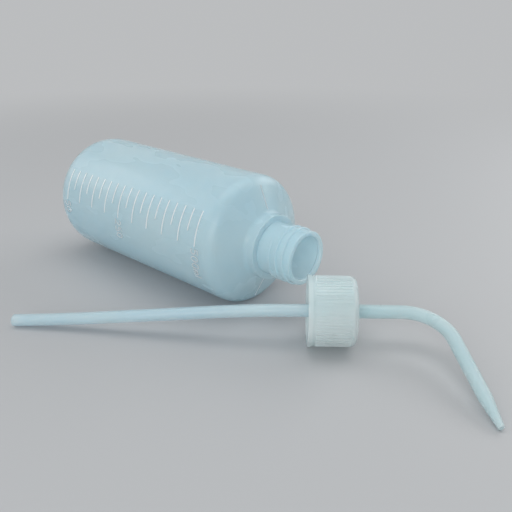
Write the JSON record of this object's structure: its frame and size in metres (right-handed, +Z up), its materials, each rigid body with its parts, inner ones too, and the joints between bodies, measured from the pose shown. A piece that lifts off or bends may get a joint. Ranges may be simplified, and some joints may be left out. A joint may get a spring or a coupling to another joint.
{
  "type": "wash bottle",
  "caption": "Lab wash bottle taken apart: squeezable plastic bottle on its side with a volume scale and threaded neck, and its ribbed screw cap with bent swivelling spout and dip tube.",
  "frame": {"origin": "the middle of the whole layout's footprint, on the bench", "axes": "+X runs along the bottle's axis from its base towards its mouth, +Z is up off the bench, and +Y is to the back, on the bottle's side away from the cap"},
  "size_m": [0.2945, 0.1449, 0.0716],
  "materials": {
    "bottle": "milky see-through low-density polyethylene, smooth",
    "screw_cap": "milky pale teal polypropylene, ribbed",
    "spout": "milky pale teal low-density polyethylene, smooth",
    "dip_tube": "clearer bluish extruded tube"
  },
  "bodies": {
    "bottle_and_cap": {"bottle": "bottle", "screw_cap": "screw_cap"},
    "spout_and_tube": {"spout": "spout", "dip_tube": "dip_tube"}
  },
  "joints": [
    {"name": "spout_swivel", "type": "hinge", "parent": "bottle_and_cap", "child": "spout_and_tube", "pos_m": [0.06381, 0.03481, 0.0176], "axis": [-0.7604, -0.6494, 0], "continuous": true}
  ]
}
